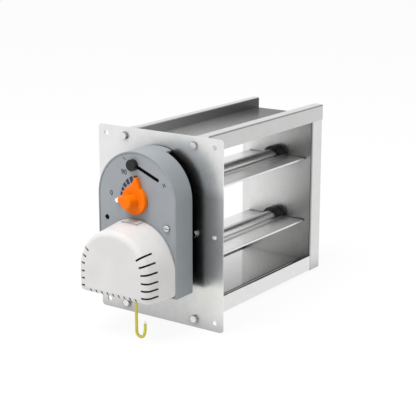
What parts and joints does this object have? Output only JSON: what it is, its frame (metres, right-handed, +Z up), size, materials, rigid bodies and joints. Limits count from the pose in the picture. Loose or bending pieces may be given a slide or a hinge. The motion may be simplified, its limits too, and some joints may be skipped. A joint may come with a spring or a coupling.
{
  "type": "rectangular damper",
  "caption": "Rectangular slip-in duct damper: hat-section frame with two parallel blades, mounting plate and a face-mounted rotary actuator with position knob and hanging lead.",
  "frame": {"origin": "centre of the mounting plate's back face, the face that meets the duct wall", "axes": "+Y into the duct along the blades, +X the way the air leaves, +Z up"},
  "size_m": [0.161, 0.3319, 0.2038],
  "materials": {
    "galvanised": "bright rolled galvanised sheet, fine grain",
    "black_coat": "steel sheet, black coated, fine texture",
    "bright_screw": "bright zinc plate",
    "ground_steel": "ground bar and plated strip",
    "black_nylon": "moulded black nylon",
    "natural_nylon": "moulded natural nylon",
    "grey_housing": "moulded, blue-grey, satin",
    "grey_dial": "fine-grained face sheet, blue-grey",
    "orange_knob": "moulded, satin",
    "white_cover": "moulded, warm white, fine texture",
    "sintered_bronze": "sintered",
    "motor_can": "drawn steel can",
    "green_terminal": "moulded",
    "black_rubber": "moulded",
    "yellow_lead": "extruded insulation",
    "bare_wire": "tinned conductor"
  },
  "bodies": {
    "frame": {"mounting_plate": "galvanised", "near_end_channel": "galvanised", "far_end_channel": "galvanised", "top_channel": "galvanised", "bottom_channel": "galvanised", "frame_screws": "bright_screw", "upper_far_bush": "natural_nylon", "lower_far_bush": "natural_nylon", "upper_near_bush": "natural_nylon", "lower_near_bush": "natural_nylon", "actuator_housing": "grey_housing", "dial_plate": "grey_dial", "housing_screws": "bright_screw", "index_pin": "natural_nylon", "slider_guide": "black_nylon", "actuator_back_plate": "black_coat", "actuator_standoffs": "black_nylon", "standoff_screws": "bright_screw", "back_plate_screws": "bright_screw", "actuator_bush": "sintered_bronze", "gear_pin": "ground_steel", "motor_body": "motor_can", "motor_mount_plate": "ground_steel", "motor_screws": "bright_screw", "terminal_block": "green_terminal", "limit_switches": "black_nylon", "motor_cover": "white_cover", "lead_grommet": "black_rubber", "lead_wire": "yellow_lead", "lead_tip": "bare_wire"},
    "drive": {"drive_shaft": "ground_steel", "upper_blade": "galvanised", "upper_far_pivot": "black_nylon", "upper_near_pivot": "black_nylon", "upper_crank": "ground_steel", "upper_pin_clip": "ground_steel", "output_gear": "natural_nylon", "position_knob": "orange_knob"},
    "lower_leaf": {"lower_blade": "galvanised", "lower_far_pivot": "black_nylon", "lower_near_pivot": "black_nylon", "lower_axle": "ground_steel", "lower_crank": "ground_steel", "lower_pin_clip": "ground_steel"},
    "link": {"tie_rod": "ground_steel"},
    "reduction": {"intermediate_gear": "natural_nylon"},
    "motor_rotor": {"motor_pinion": "sintered_bronze"},
    "minimum_stop": {"slider_knob": "black_nylon", "slider_shoe": "black_nylon"}
  },
  "joints": [
    {"name": "blade_turn", "type": "hinge", "parent": "frame", "child": "drive", "pos_m": [0, 0, 0.0376], "axis": [0, -1, 0], "range_deg": [0, 87.5]},
    {"name": "lower_blade_turn", "type": "hinge", "parent": "frame", "child": "lower_leaf", "pos_m": [0, 0, -0.0376], "axis": [0, -1, 0], "range_deg": [0, 87.5]},
    {"name": "tie_rod_turn", "type": "hinge", "parent": "drive", "child": "link", "pos_m": [-0.0127, 0.0069, 0.0503], "axis": [0, -1, 0], "range_deg": [-87.5, 0]},
    {"name": "reduction_turn", "type": "hinge", "parent": "frame", "child": "reduction", "pos_m": [0, 0, 0.0066], "axis": [0, -1, 0], "range_deg": [-315, 5]},
    {"name": "motor_turn", "type": "hinge", "parent": "frame", "child": "motor_rotor", "pos_m": [0, 0, -0.0184], "axis": [0, -1, 0], "range_deg": [-15, 812]},
    {"name": "minimum_slide", "type": "slide", "parent": "frame", "child": "minimum_stop", "axis": [0.9272, 0, -0.3746], "range_m": [0, 0.0327]}
  ],
  "couplings": [
    {"joint": "lower_blade_turn", "follows": "blade_turn", "ratio": 1},
    {"joint": "tie_rod_turn", "follows": "blade_turn", "ratio": -1},
    {"joint": "reduction_turn", "follows": "blade_turn", "ratio": -3.4286},
    {"joint": "motor_turn", "follows": "blade_turn", "ratio": 8.8163}
  ]
}
